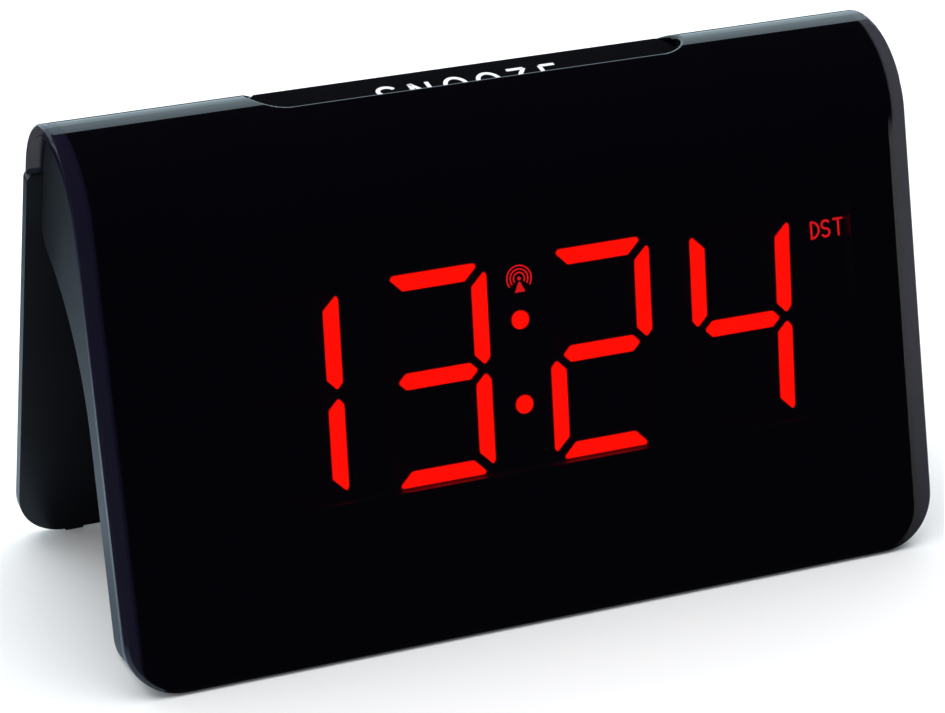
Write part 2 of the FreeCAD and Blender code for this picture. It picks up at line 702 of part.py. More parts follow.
def panel_prism(corners, near, far):
    """A straight-sided prism in the front frame from corners (x, up) between two depths."""
    points = [Vector(x, near, up) for x, up in corners]
    face = Part.Face(Part.makePolygon(points + points[:1]))
    return face.extrude(Vector(0, far - near, 0))


def segments(wanted):
    """The segments of all four digits that are lit, or all those that are not."""
    near = value("digit_plane")
    far = near + value("segment_depth")
    made = []
    for place, lit in zip(DIGIT_PLACES, LIT):
        for name in "abcdefg":
            if (name in lit) != wanted:
                continue
            corners = [(place + x + value("slant") * up, value("digit_middle") + up)
                       for x, up in segment_corners(name)]
            made.append(panel_prism(corners, near, far))
    return made


def colon_dots():
    near = value("digit_plane")
    dots = []
    for side in (-1, 1):
        up = side * value("colon_half")
        start = (value("colon_place") + value("slant") * up, near, value("digit_middle") + up)
        dots.append(rod(value("colon_dot / 2"), start, (0, 1, 0), value("segment_depth")))
    return dots


def ring_piece(x, up, radius, thick, start, stop, near, far):
    """Part of a thin ring in the front frame, angles measured from +x."""
    piece = sector(radius - thick / 2, radius + thick / 2, near, far, start, stop, 0)
    piece.translate(Vector(x, 0, up))
    return piece


def radio_icon():
    """A mast with three rings of waves round its tip."""
    x, up = 2.3, 72.2
    near = value("digit_plane")
    far = near + value("icon_depth")
    foot = [(x - 1.2, up - 2.9), (x + 1.2, up - 2.9)]
    tip = [(x + 0.22, up - 0.75), (x - 0.22, up - 0.75)]
    mast = panel_prism(foot + tip, near, far)
    parts = [mast, rod(0.42, (x, near, up), (0, 1, 0), far - near)]
    for radius in (1.25, 2.0, 2.75):
        parts.append(ring_piece(x, up, radius, 0.34, -35, 215, near, far))
    return parts


def stroke_bar(start, stop, thick, near, far):
    """A straight stroke of lettering between two points of the panel."""
    along = Vector(stop[0] - start[0], 0, stop[1] - start[1])
    along.normalize()
    side = Vector(-along.z, 0, along.x) * (thick / 2)
    corners = [(start[0] - side.x, start[1] - side.z), (stop[0] - side.x, stop[1] - side.z),
               (stop[0] + side.x, stop[1] + side.z), (start[0] + side.x, start[1] + side.z)]
    return panel_prism(corners, near, far)


def summer_time_icon():
    """The three letters of the summer-time flag, in plain strokes four millimetres tall."""
    near = value("digit_plane")
    far = near + value("icon_depth")
    left, low, tall, wide, thick = 70.6, 70.1, 4.0, 2.3, 0.5
    t = thick / 2
    letter_d = stroke_bar((left + t, low), (left + t, low + tall), thick, near, far)
    bow = ring_piece(left + 0.3, low + tall / 2, tall / 2 - t, thick, -90, 90, near, far)
    letter_d = letter_d.fuse([bow])
    x = left + wide + 1.4
    r = tall / 4 - t / 2
    letter_s = ring_piece(x, low + tall - r - t, r, thick, 20, 270, near, far)
    letter_s = letter_s.fuse([ring_piece(x, low + r + t, r, thick, -160, 90, near, far)])
    x = left + 2 * wide + 2.2
    letter_t = stroke_bar((x, low), (x, low + tall), thick, near, far)
    bar_up = low + tall - t
    letter_t = letter_t.fuse([stroke_bar((x - 1.3, bar_up), (x + 1.3, bar_up), thick, near, far)])
    return [letter_d.removeSplitter(), letter_s.removeSplitter(), letter_t.removeSplitter()]


def make_reflector(inlays):
    """The dark block that holds every segment, with a rim that meets the housing's front wall."""
    left, right = value("module_left"), value("module_right")
    low, high = value("module_low"), value("module_high")
    face = value("digit_plane")
    reflector = block(left, right, CAVITY, value("module_depth"), low, high)
    reflector = reflector.cut(block(left + 2, right - 2, CAVITY - 1, face, low + 2, high - 2))
    return reflector.cut(inlays)


lit = segments(True)
unlit = segments(False)
dots = colon_dots()
mast = radio_icon()
letters = summer_time_icon()
shaped("display_reflector", make_reflector(lit + unlit + dots + mast + letters), FRONT_FRAME)
shaped("lit_segments", Part.makeCompound(lit), FRONT_FRAME)
shaped("unlit_segments", Part.makeCompound(unlit), FRONT_FRAME)
shaped("colon_dots", Part.makeCompound(dots), FRONT_FRAME)
shaped("radio_icon", Part.makeCompound(mast), FRONT_FRAME)
shaped("summer_time_icon", Part.makeCompound(letters), FRONT_FRAME)

BOARD_NEAR = "module_depth"
BOARD_FAR = "module_depth + board_thick"
display_board = new_body("display_board", FRONT_FRAME)
sheet_metal(display_board, BOARD_NEAR, BOARD_FAR,
            lambda s: rectangle(s, "board_left", "board_right", "module_low + 0.2", "module_high"))
for post_x, post_up in POST_PLACES:
    cut_depth(display_board, "module_depth - 1", "module_depth + board_thick + 1",
              lambda s: circle(s, post_x, post_up, 1.2))

driver_chips = new_body("driver_chips", FRONT_FRAME)
for chip_x in (-40, 38):
    sheet_metal(driver_chips, BOARD_FAR, "module_depth + board_thick + 1.8",
                lambda s: rectangle(s, chip_x - 6.5, chip_x + 6.5, 50, 57.5))


# ---------------------------------------------------------------- screws
def screw_group(label, places, frame, start, direction, head, shank, length, head_height, slot=True):
    """Pan-head screws, all of one kind: a head at the start point and a shank along the direction."""
    screws = []
    along = Vector(*direction)
    for place in places:
        seat = Vector(*place) + Vector(*start)
        body = Part.makeCylinder(head, head_height, seat - along * head_height, along)
        rim = [edge for edge in body.Edges if edge.Length > 1 and (edge.CenterOfMass - seat).Length > 0.1]
        body = body.makeFillet(head_height * 0.4, [edge for edge in rim if edge.Closed][:1])
        body = body.fuse(Part.makeCylinder(shank, length, seat, along))
        if slot:
            for turn in (0, 90):
                cross = Part.makeBox(head * 1.3, head * 0.3, 1, Vector(-head * 0.65, -head * 0.15, -0.5))
                cross.rotate(Vector(0, 0, 0), Vector(0, 0, 1), turn)
                cross.Placement = FreeCAD.Placement(seat - along * head_height,
                                                    FreeCAD.Rotation(Vector(0, 0, 1), along)).multiply(
                                                        cross.Placement)
                body = body.cut(cross)
        screws.append(body)
    return shaped(label, Part.makeCompound(screws), frame)


back = value("leg_depth")
screw_group("back_screws", [(x, 0, value("back_screw_up")) for x in BOSS_PLACES], FRONT_FRAME,
            (0, back - 0.9, 0), (0, -1, 0), 2.1, 1.05, 7, 0.8)
screw_group("display_screws", [(x, 0, up) for x, up in POST_PLACES], FRONT_FRAME,
            (0, value(BOARD_FAR), 0), (0, -1, 0), 1.9, 0.95, 6, 1.2)
screw_group("cover_screws", [(x, -9, CONTROL_HEIGHT) for x in COVER_POSTS], REAR_FRAME,
            (0, 0, 0), (0, 1, 0), 2.2, 1.05, 5, 1.4)
screw_group("keyboard_screws", [(x, -13.6, CONTROL_HEIGHT) for x in KEYBOARD_POSTS], REAR_FRAME,
            (0, 0, 0), (0, 1, 0), 1.8, 0.85, 5.5, 1.2)
screw_group("carrier_screws", [(side * value("carrier_screw"), value("key_back"), value("carrier_low"))
                               for side in (-1, 1)], CLOCK, (0, 0, 0), (0, 0, 1), 2.2, 1.05, 6, 1.4)
screw_group("main_board_screws", [(x, -2, value("main_level + board_thick")) for x in MAIN_POSTS], CLOCK,
            (0, 0, 0), (0, 0, -1), 1.8, 0.85, 6, 1.2)


# ---------------------------------------------------------------- main board and radio receiver
MAIN_TOP = "main_level + board_thick"
main_board = new_body("main_board")
level_pad(main_board, "main_level", MAIN_TOP,
          lambda s: rectangle(s, "-1 * main_half", "main_half", "main_front", "main_back"))
for post_x in MAIN_POSTS:
    level_cut(main_board, "main_level - 1", "main_level + board_thick + 1",
              lambda s: circle(s, post_x, -2, 1.1))

clock_chip = new_body("clock_chip")
level_pad(clock_chip, MAIN_TOP, "main_level + board_thick + 1.4", lambda s: rectangle(s, 2, 12, -10, 0))

crystal = doc.addObject("Part::Cylinder", "quartz_crystal")
crystal.Label = "quartz_crystal"
crystal.Radius = 1
crystal.Height = 6
crystal.Placement = FreeCAD.Placement(Vector(15, -5, value("main_level + board_thick + 1")),
                                      FreeCAD.Rotation(Vector(0, 1, 0), 90))
nodes["quartz_crystal"] = crystal

capacitors = new_body("capacitors")
for can_x, can_r, can_tall in ((28, 3.15, 7.5), (36, 3.15, 7.5), (44, 2.5, 6), (51, 2.5, 6)):
    level_pad(capacitors, MAIN_TOP, "main_level + board_thick + %s" % can_tall,
              lambda s: circle(s, can_x, -6, can_r), "can")

regulator = new_body("regulator")
level_pad(regulator, MAIN_TOP, "main_level + board_thick + 2.3", lambda s: rectangle(s, 56, 62.5, -9, -5))
level_pad(regulator, MAIN_TOP, "main_level + board_thick + 0.6",
          lambda s: rectangle(s, 57, 61.5, -5, -3), "tab")

receiver_board = new_body("receiver_board")
level_pad(receiver_board, "main_level + board_thick + 2", "main_level + board_thick + 3",
          lambda s: rectangle(s, -18, -2, -11, -1))
for pin_x in (-16, -13, -10, -7, -4):
    level_pad(receiver_board, MAIN_TOP, "main_level + board_thick + 2",
              lambda s: circle(s, pin_x, -2.2, 0.35), "pin")

ROD_BACK, ROD_UP = -9, 89
ferrite = doc.addObject("Part::Cylinder", "ferrite_rod")
ferrite.Label = "ferrite_rod"
ferrite.Radius = 4
ferrite.Height = 58
ferrite.Placement = FreeCAD.Placement(Vector(-79, ROD_BACK, ROD_UP), FreeCAD.Rotation(Vector(0, 1, 0), 90))
nodes["ferrite_rod"] = ferrite

coil_shape = rod(4.6, (-60, ROD_BACK, ROD_UP), (1, 0, 0), 20)
coil_shape = coil_shape.cut(rod(4, (-61, ROD_BACK, ROD_UP), (1, 0, 0), 22))
shaped("antenna_coil", coil_shape)

holders = []
for x in (-70, -32):
    saddle = block(x - 2.5, x + 2.5, ROD_BACK - 3.4, ROD_BACK + 3.4, value(MAIN_TOP), ROD_UP - 1)
    holders.append(saddle.cut(rod(4, (x - 5, ROD_BACK, ROD_UP), (1, 0, 0), 10)))
shaped("antenna_holders", Part.makeCompound(holders))


# ---------------------------------------------------------------- controls in the rear cover
FLANGE_NEAR = SKIN + value("back_wall + cover_step") + 0.1
FLANGE_FAR = FLANGE_NEAR + 0.9
SWITCH_FACE = FLANGE_FAR + 1 + value("button_travel") + 0.05


def make_button(x):
    length = value("button_length")
    width = value("button_width")
    cap = control_hole(x, length, width, -value("button_proud"), FLANGE_NEAR)
    rim = [edge for edge in cap.Edges if abs(edge.CenterOfMass.y - value("button_proud")) < 0.01]
    cap = cap.makeFillet(0.5, rim)
    flange = control_hole(x, length + 2, width + 2, FLANGE_NEAR, FLANGE_FAR)
    stem = rod(1.5, (x, -FLANGE_FAR - 1, CONTROL_HEIGHT), (0, 1, 0), 1.5)
    return cap.fuse([flange, stem]).removeSplitter()


for label, x in BUTTONS.items():
    shaped(label, make_button(x), REAR_FRAME)

slide_rest = value("slide_place - slide_travel / 2")
knob = control_hole(slide_rest, 6, 4, -1.4, FLANGE_NEAR)
flange = block(slide_rest - 8.5, slide_rest + 8.5, -FLANGE_FAR, -FLANGE_NEAR, CONTROL_HEIGHT - 3.2,
               CONTROL_HEIGHT + 3.2)
fork = block(slide_rest - 1.2, slide_rest + 1.2, -8.8, -FLANGE_FAR + 0.2, CONTROL_HEIGHT - 1.5,
             CONTROL_HEIGHT + 1.5)
knob = knob.fuse([flange, fork]).removeSplitter()
groove_low = CONTROL_HEIGHT - 3
groove_high = CONTROL_HEIGHT + 3
grooves = [block(slide_rest + step - 0.25, slide_rest + step + 0.25, 1.0, 2, groove_low, groove_high)
           for step in (-1.5, 0, 1.5)]
shaped("alarm_slider", knob.cut(grooves), REAR_FRAME)

key_board = new_body("key_board", REAR_FRAME)
sheet_metal(key_board, "-1 * keyboard_face - board_thick", "-1 * keyboard_face",
            lambda s: rectangle(s, "-1 * keyboard_half", "keyboard_half", "control_height - 6.2",
                                "control_height + 6.2"))
for post_x in KEYBOARD_POSTS:
    cut_depth(key_board, "-1 * keyboard_face - board_thick - 1", "-1 * keyboard_face + 1",
              lambda s: circle(s, post_x, "control_height", 1.0))

key_switches = new_body("key_switches", REAR_FRAME)
for x in BUTTONS.values():
    sheet_metal(key_switches, "-1 * keyboard_face", -SWITCH_FACE - 0.75,
                lambda s: rectangle(s, x - 3, x + 3, "control_height - 3", "control_height + 3"), "case")
    sheet_metal(key_switches, -SWITCH_FACE - 0.75, -SWITCH_FACE,
                lambda s: circle(s, x, "control_height", 1.7), "plunger")

slide_switch = new_body("slide_switch", REAR_FRAME)
sheet_metal(slide_switch, "-1 * keyboard_face", -8.9,
            lambda s: rectangle(s, "slide_place - 6.5", "slide_place + 6.5", "control_height - 3",
                                "control_height + 3"))


# ---------------------------------------------------------------- power socket, backup cell and buzzer
def make_socket():
    """A barrel jack: a square body, a round collar flush in the back plate, a bore and its pin."""
    x, up = value("socket_place"), value("socket_up")
    body = block(x - 4.5, x + 4.5, 6, back - 2.1, up - 5.5, up + 5.5)
    body = body.fuse(rod(4.2, (x, back - 3, up), (0, 1, 0), 3)).removeSplitter()
    body = body.cut(rod(2.85, (x, 8.5, up), (0, 1, 0), 15))
    pin = rod(1.0, (x, 8, up), (0, 1, 0), back - 8 - 1.5)
    tip = [edge for edge in pin.Edges if abs(edge.CenterOfMass.y - (back - 1.5)) < 0.01]
    return body.fuse(pin.makeFillet(0.4, tip)).removeSplitter()


shaped("dc_socket", make_socket(), FRONT_FRAME)

cell_up = value("cell_up")
cell_near = value("well_floor") + 0.9
cell = rod(10, (0, cell_near, cell_up), (0, 1, 0), 3.1)
shaped("backup_cell", cell.makeFillet(0.35, [edge for edge in cell.Edges if edge.Closed]), FRONT_FRAME)

contact = rod(3.2, (0, value("well_floor") + 0.7, cell_up), (0, 1, 0), 0.2)
clip = sector(10.1, 10.4, cell_near, cell_near + 2.2, 70, 110, cell_up)
shaped("cell_contacts", Part.makeCompound([contact, clip]), FRONT_FRAME)


def make_battery_cap():
    """A round cap with a coin slot and two bayonet lugs that turn under the plate's ledge."""
    radius = value("cap_radius")
    thick = value("cap_thick")
    near = back - thick
    cap = rod(radius, (0, near, cell_up), (0, 1, 0), thick)
    rim = [edge for edge in cap.Edges if edge.Closed and abs(edge.CenterOfMass.y - back) < 0.01]
    cap = cap.makeFillet(0.3, rim)
    pieces = []
    for turn in (0, 180):
        pieces.append(sector(10.2, 10.75, back - 3.0, near + 0.1, turn - 8, turn + 8, cell_up))
        pieces.append(sector(10.2, 12.0, back - 3.0, back - 2.2, turn - 8, turn + 8, cell_up))
    cap = cap.fuse(pieces).removeSplitter()
    slot = block(-6.5, 6.5, back - 0.6, back + 1, cell_up - 0.9, cell_up + 0.9)
    return cap.cut(slot)


shaped("battery_cap", make_battery_cap(), FRONT_FRAME)

buzzer_shape = rod(7, (value("buzzer_place"), 10.4, value("buzzer_up")), (0, 1, 0), 7)
buzzer_shape = buzzer_shape.cut(rod(1.5, (value("buzzer_place"), 16, value("buzzer_up")), (0, 1, 0), 3))
shaped("buzzer", buzzer_shape, FRONT_FRAME)


# ---------------------------------------------------------------- leads and ribbon
def bent_path(points, radius):
    """Straight runs joined by arcs that are tangent to both."""
    vectors = [Vector(*point) for point in points]
    edges = []
    here = vectors[0]
    for i in range(1, len(vectors) - 1):
        before = (vectors[i - 1] - vectors[i]).normalize()
        after = (vectors[i + 1] - vectors[i]).normalize()
        half = before.getAngle(after) / 2
        reach = radius / math.tan(half)
        start = vectors[i] + before * reach
        stop = vectors[i] + after * reach
        middle = (before + after).normalize()
        middle = vectors[i] + middle * (radius / math.sin(half) - radius)
        edges.append(Part.makeLine(here, start))
        edges.append(Part.Arc(start, middle, stop).toShape())
        here = stop
    edges.append(Part.makeLine(here, vectors[-1]))
    return Part.Wire(edges)


def lead(points, radius, bend):
    path = bent_path(points, bend)
    first = Vector(*points[0])
    along = Vector(*points[1]) - first
    section = Part.Wire([Part.makeCircle(radius, first, along)])
    return path.makePipeShell([section], True, True)


LEAD_DEPTH = 15.85
board_under = 87.9
socket_top = value("socket_up") + 5.5
power_leads = []
for x in (60, 64):
    route = [(x, 9, socket_top), (x, 9, socket_top + 4.5), (x, LEAD_DEPTH, 31.5)]
    route.append((x, LEAD_DEPTH, board_under))
    power_leads.append(lead(route, 0.65, 3))
shaped("power_leads", Part.makeCompound(power_leads), FRONT_FRAME)

cell_top = cell_up + value("well_radius") + 2.5
cell_leads = [lead([(x, LEAD_DEPTH, cell_top), (x, LEAD_DEPTH, 50), (x - 3, LEAD_DEPTH, 60),
                    (x - 3, LEAD_DEPTH, board_under)], 0.6, 12) for x in (-2, 3)]
shaped("cell_leads", Part.makeCompound(cell_leads), FRONT_FRAME)

ribbon_path = [(14.1, 72), (16.2, 72), (16.2, board_under)]
ribbon = block(-27, -13, ribbon_path[0][0], 16.6, 71.6, 72.4)
ribbon = ribbon.fuse(block(-27, -13, 15.8, 16.6, 71.6, board_under)).removeSplitter()
shaped("ribbon_cable", ribbon, FRONT_FRAME)

coil_leads = [lead([(-39.9, y, 85.6), (-30, y, 86.0), (-22, y, 86.6), (-18.1, y, 86.6)], 0.3, 4)
              for y in (-4.4, -3)]
shaped("coil_leads", Part.makeCompound(coil_leads))


# ---------------------------------------------------------------- prove every piece, then write it
doc.recompute()
for thing in doc.Objects:
    if "Invalid" in thing.State or "Error" in thing.State:
        raise RuntimeError("%s failed: %s" % (thing.Label, thing.State))
for label, piece in nodes.items():
    if piece.Shape.isNull() or not piece.Shape.isValid() or not piece.Shape.Solids:
        raise RuntimeError("%s is not a valid solid" % label)

os.makedirs("parts", exist_ok=True)
for label, piece in nodes.items():
    piece.Shape.exportStep("parts/%s.step" % label)
print("%d nodes written" % len(nodes))
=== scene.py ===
# %% [markdown]
# # A bedside alarm clock
# The clock is a folded A: a dark tinted acrylic sheet makes the face and the top, a matte case sits inside
# it, and a thin cover makes the rear leg. Red digits shine through the acrylic. The measured solids are
# loaded first and stay as they are. Every finish, the lettering, the marks and the studio are made here.

# %% Load the measured parts
import bpy
import math
import numpy as np
from mathutils import Matrix


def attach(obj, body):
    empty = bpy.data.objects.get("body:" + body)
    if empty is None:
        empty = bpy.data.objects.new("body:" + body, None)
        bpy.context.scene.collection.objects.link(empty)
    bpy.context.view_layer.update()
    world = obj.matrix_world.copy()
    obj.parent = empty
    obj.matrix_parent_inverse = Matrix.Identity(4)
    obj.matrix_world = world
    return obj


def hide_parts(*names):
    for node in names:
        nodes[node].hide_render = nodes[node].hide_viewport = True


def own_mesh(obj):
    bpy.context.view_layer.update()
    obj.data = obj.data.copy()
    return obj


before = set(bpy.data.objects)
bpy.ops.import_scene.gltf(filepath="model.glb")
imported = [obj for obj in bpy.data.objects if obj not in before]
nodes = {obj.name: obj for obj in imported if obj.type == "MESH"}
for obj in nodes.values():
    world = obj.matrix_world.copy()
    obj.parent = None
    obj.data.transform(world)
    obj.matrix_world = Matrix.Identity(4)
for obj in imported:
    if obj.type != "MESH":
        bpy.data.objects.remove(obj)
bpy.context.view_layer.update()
MM = 0.001

# %% [markdown]
# ## Node building helpers
# A finish is a small network of shader nodes. Two short helpers keep that network readable: one adds a
# node with its settings, the other starts a group with number inputs and outputs. A third helper turns a
# lamp or the camera, which both have to look at the clock.

# %% Helpers
def add(tree, kind, values=None, **settings):
    """Add a shader node, set its properties, then the values of its inputs by name."""
    node = tree.nodes.new(kind)
    for key, setting in settings.items():
        setattr(node, key, setting)
    for key, amount in (values or {}).items():
        node.inputs[key].default_value = amount
    return node


def new_group(name, inputs, outputs):
    """An empty node group with number inputs and number outputs."""
    group = bpy.data.node_groups.new(name, "ShaderNodeTree")
    for label, amount in inputs.items():
        socket = group.interface.new_socket(label, in_out="INPUT", socket_type="NodeSocketFloat")
        socket.default_value = amount
    for label in outputs:
        group.interface.new_socket(label, in_out="OUTPUT", socket_type="NodeSocketFloat")
    return group, group.nodes.new("NodeGroupInput"), group.nodes.new("NodeGroupOutput")


def stand(thing, right, up, back, place):
    """Put a lamp or the camera at a place, with its own X, Y and Z along right, up and back."""
    bpy.context.scene.collection.objects.link(thing)
    axes = np.c_[right, up, back]
    thing.matrix_world = Matrix([[*row, at] for row, at in zip(axes, place)] + [[0, 0, 0, 1]])


print("helpers", add.__name__, new_group.__name__, stand.__name__)

# %% [markdown]
# ## Moulded grain
# The case of a clock comes out of a spark-eroded mould, so its skin is an even field of tiny rounded
# pimples. A picture could show that, but a noise reads the same from any distance and needs no unwrapping.
# Two noises are used: fine pimples for the height, and slow clouds for the shade.

# %% Shared grain
def build_grain():
    """Height = noise of the given scale with finer layers on it; Shade = slow noise of 12 mm patches."""
    group, given, out = new_group("moulded_grain", {"Scale": 2600.0}, ["Height", "Shade"])
    place = add(group, "ShaderNodeTexCoord")
    fine = add(group, "ShaderNodeTexNoise", {"Detail": 2.0, "Roughness": 0.55})
    cloud = add(group, "ShaderNodeTexNoise", {"Scale": 80.0, "Detail": 3.0})
    group.links.new(place.outputs["Object"], fine.inputs["Vector"])
    group.links.new(place.outputs["Object"], cloud.inputs["Vector"])
    group.links.new(given.outputs["Scale"], fine.inputs["Scale"])
    group.links.new(fine.outputs["Fac"], out.inputs["Height"])
    group.links.new(cloud.outputs["Fac"], out.inputs["Shade"])
    return group


grain = build_grain()
print("group", grain.name)

# %% [markdown]
# ## Handling marks and dust
# Gloss is never perfectly even. Fingers leave soft oval smears that raise the roughness a little, and dust
# settles on whatever faces up. Both are masks from 0 to 1, so each finish decides how much to use.

# %% Shared smears and dust
def build_marks():
    """Smear = stretched noise above a threshold; Dust = how far the face looks up, times fine specks."""
    group, given, out = new_group("handling_marks", {"Smear Scale": 45.0, "Dust Amount": 0.1},
                                  ["Smear", "Dust"])
    place = add(group, "ShaderNodeTexCoord")
    stretch = add(group, "ShaderNodeMapping", {"Scale": (1.0, 1.0, 0.45)})
    smear = add(group, "ShaderNodeTexNoise", {"Detail": 4.0, "Distortion": 0.6})
    lift = add(group, "ShaderNodeMapRange", {"From Min": 0.5, "From Max": 0.75})
    specks = add(group, "ShaderNodeTexNoise", {"Scale": 900.0, "Detail": 1.0})
    sparse = add(group, "ShaderNodeMapRange", {"From Min": 0.62, "From Max": 0.78})
    facing = add(group, "ShaderNodeNewGeometry")
    split = add(group, "ShaderNodeSeparateXYZ")
    upward = add(group, "ShaderNodeMapRange", {"From Min": 0.35, "From Max": 0.95})
    both = add(group, "ShaderNodeMath", operation="MULTIPLY")
    amount = add(group, "ShaderNodeMath", operation="MULTIPLY")
    link = group.links.new
    link(place.outputs["Object"], stretch.inputs["Vector"])
    link(stretch.outputs["Vector"], smear.inputs["Vector"])
    link(given.outputs["Smear Scale"], smear.inputs["Scale"])
    link(smear.outputs["Fac"], lift.inputs["Value"])
    link(lift.outputs["Result"], out.inputs["Smear"])
    link(place.outputs["Object"], specks.inputs["Vector"])
    link(specks.outputs["Fac"], sparse.inputs["Value"])
    link(facing.outputs["Normal"], split.inputs["Vector"])
    link(split.outputs["Z"], upward.inputs["Value"])
    link(sparse.outputs["Result"], both.inputs[0])
    link(upward.outputs["Result"], both.inputs[1])
    link(both.outputs["Value"], amount.inputs[0])
    link(given.outputs["Dust Amount"], amount.inputs[1])
    link(amount.outputs["Value"], out.inputs["Dust"])
    return group


marks = build_marks()
print("group", marks.name)

# %% [markdown]
# ## One recipe for every solid finish
# Most pieces are one material with a grain, a small change of shade and some handling marks. One function
# builds that from plain numbers, so a reader can compare the finishes in one table. Gloss, metal and index
# of refraction stay on the shader itself, because they are the same all over the piece.

# %% The recipe
DUST_GREY = (0.35, 0.34, 0.33)


def finish(name, dark, light, rough, grain_size, depth, metal=0.0, dust=0.1, sockets=None):
    """Colour = dark to light by the slow clouds, paler where dust lies; roughness = the low value plus
    smears up to the high value; bump = the fine grain times a depth in metres."""
    material = bpy.data.materials.new(name)
    material.use_nodes = True
    tree = material.node_tree
    shader = tree.nodes["Principled BSDF"]
    link = tree.links.new
    skin = add(tree, "ShaderNodeGroup", node_tree=grain)
    skin.inputs["Scale"].default_value = grain_size
    touch = add(tree, "ShaderNodeGroup", node_tree=marks)
    touch.inputs["Dust Amount"].default_value = dust
    shade = add(tree, "ShaderNodeMix", data_type="RGBA")
    shade.inputs["A"].default_value = (*dark, 1)
    shade.inputs["B"].default_value = (*light, 1)
    dusty = add(tree, "ShaderNodeMix", data_type="RGBA")
    dusty.inputs["B"].default_value = (*DUST_GREY, 1)
    gloss = add(tree, "ShaderNodeMapRange", {"To Min": rough[0], "To Max": rough[1]})
    bump = add(tree, "ShaderNodeBump", {"Distance": depth, "Strength": 1.0})
    link(skin.outputs["Shade"], shade.inputs["Factor"])
    link(shade.outputs["Result"], dusty.inputs["A"])
    link(touch.outputs["Dust"], dusty.inputs["Factor"])
    link(dusty.outputs["Result"], shader.inputs["Base Color"])
    link(touch.outputs["Smear"], gloss.inputs["Value"])
    link(gloss.outputs["Result"], shader.inputs["Roughness"])
    link(skin.outputs["Height"], bump.inputs["Height"])
    link(bump.outputs["Normal"], shader.inputs["Normal"])
    shader.inputs["Metallic"].default_value = metal
    for key, amount in (sockets or {}).items():
        shader.inputs[key].default_value = amount
    return material


print("recipe", finish.__name__)

# %% [markdown]
# ## The finishes
# Each line is one real material: the tinted acrylic, the blue-grey grained case, the satin rear cover, the
# polished key, rubber, and the metals and boards inside. The rows give the dark and light shade, the low
# and high roughness, the scale of the grain and its depth in metres.

# %% Table of finishes
FINISHES = {
    "tinted_shell": finish("tinted_acrylic", (0.0014, 0.0012, 0.0024), (0.0018, 0.0016, 0.003),
                           (0.02, 0.035), 300.0, 0.0, dust=0.0, sockets={"IOR": 1.49}),
    "housing_plastic": finish("grained_case", (0.012, 0.0155, 0.021), (0.015, 0.0195, 0.026),
                              (0.42, 0.5), 2600.0, 0.00003, dust=0.02, sockets={"IOR": 1.5}),
    "cover_plastic": finish("satin_cover", (0.006, 0.0065, 0.009), (0.008, 0.0085, 0.012),
                            (0.32, 0.4), 3000.0, 0.00002, dust=0.02, sockets={"IOR": 1.5}),
    "key_plastic": finish("polished_key", (0.003, 0.003, 0.004), (0.004, 0.004, 0.005),
                          (0.03, 0.05), 900.0, 0.0000003, dust=0.0, sockets={"IOR": 1.4}),
    "foot_rubber": finish("foot_rubber", (0.012, 0.012, 0.013), (0.022, 0.022, 0.023),
                          (0.75, 0.85), 1800.0, 0.00006, dust=0.3),
    "reflector_plastic": finish("black_reflector", (0.002, 0.002, 0.002), (0.003, 0.003, 0.003),
                                (0.6, 0.7), 1500.0, 0.00002, dust=0.0, sockets={"Specular IOR Level": 0.1}),
    "circuit_board": finish("green_board", (0.01, 0.07, 0.03), (0.015, 0.1, 0.045),
                            (0.3, 0.4), 700.0, 0.00004),
    "chip_epoxy": finish("chip_epoxy", (0.012, 0.012, 0.013), (0.02, 0.02, 0.021),
                         (0.5, 0.6), 3500.0, 0.00003),
    "switch_plastic": finish("switch_plastic", (0.012, 0.012, 0.014), (0.02, 0.02, 0.023),
                             (0.4, 0.5), 2200.0, 0.00003),
    "spring_steel": finish("spring_steel", (0.45, 0.45, 0.47), (0.6, 0.6, 0.62),
                           (0.2, 0.35), 1500.0, 0.00001, metal=1.0, dust=0.0),
    "screw_steel": finish("screw_steel", (0.1, 0.1, 0.105), (0.18, 0.18, 0.19),
                          (0.3, 0.45), 1800.0, 0.00002, metal=1.0, dust=0.0),
    "cell_steel": finish("cell_steel", (0.55, 0.55, 0.56), (0.66, 0.66, 0.67),
                         (0.2, 0.3), 2400.0, 0.00001, metal=1.0),
    "can_aluminium": finish("can_aluminium", (0.6, 0.61, 0.63), (0.72, 0.73, 0.75),
                            (0.25, 0.35), 1600.0, 0.00001, metal=1.0),
    "ferrite": finish("ferrite", (0.03, 0.028, 0.027), (0.05, 0.047, 0.045), (0.55, 0.7), 1400.0, 0.00004),
    "coil_copper": finish("coil_copper", (0.42, 0.12, 0.04), (0.6, 0.2, 0.07),
                          (0.25, 0.35), 2200.0, 0.00005, metal=1.0, dust=0.0),
    "lead_sheath": finish("lead_sheath", (0.25, 0.008, 0.006), (0.33, 0.012, 0.01),
                          (0.35, 0.45), 1200.0, 0.00001),
}
print("finishes", len(FINISHES))

# %% [markdown]
# ## The overhanging ends of the sheet
# The acrylic reaches 3 mm past the case at both ends. Nothing dark lies behind it there, so light from behind
# shines through its violet dye. That light is painted: a mask made from the distance to the middle paints a
# lighter violet into the two end strips only. Below, each of the sheet's two faces lets about a sixth of the
# light through, which hides the dark case and still lets the bright digits out. The top of the sheet is
# printed black on its inner side, so that the word can't be seen through the rim: above the display the sheet
# is opaque, except at its ends.

# %% Painted backlight at the violet ends and black printing
ENDS_START = 0.0888
ENDS_FULL = 0.0896
# Lighter violet painted into the end strips: painted light from behind, standing in for light shining through
# the sheet.
PAINTED_BACKLIGHT_VIOLET = (0.008, 0.0068, 0.017)
PRINT_START = 0.088
PRINT_FULL = 0.094
SHEET_OPACITY = 0.83


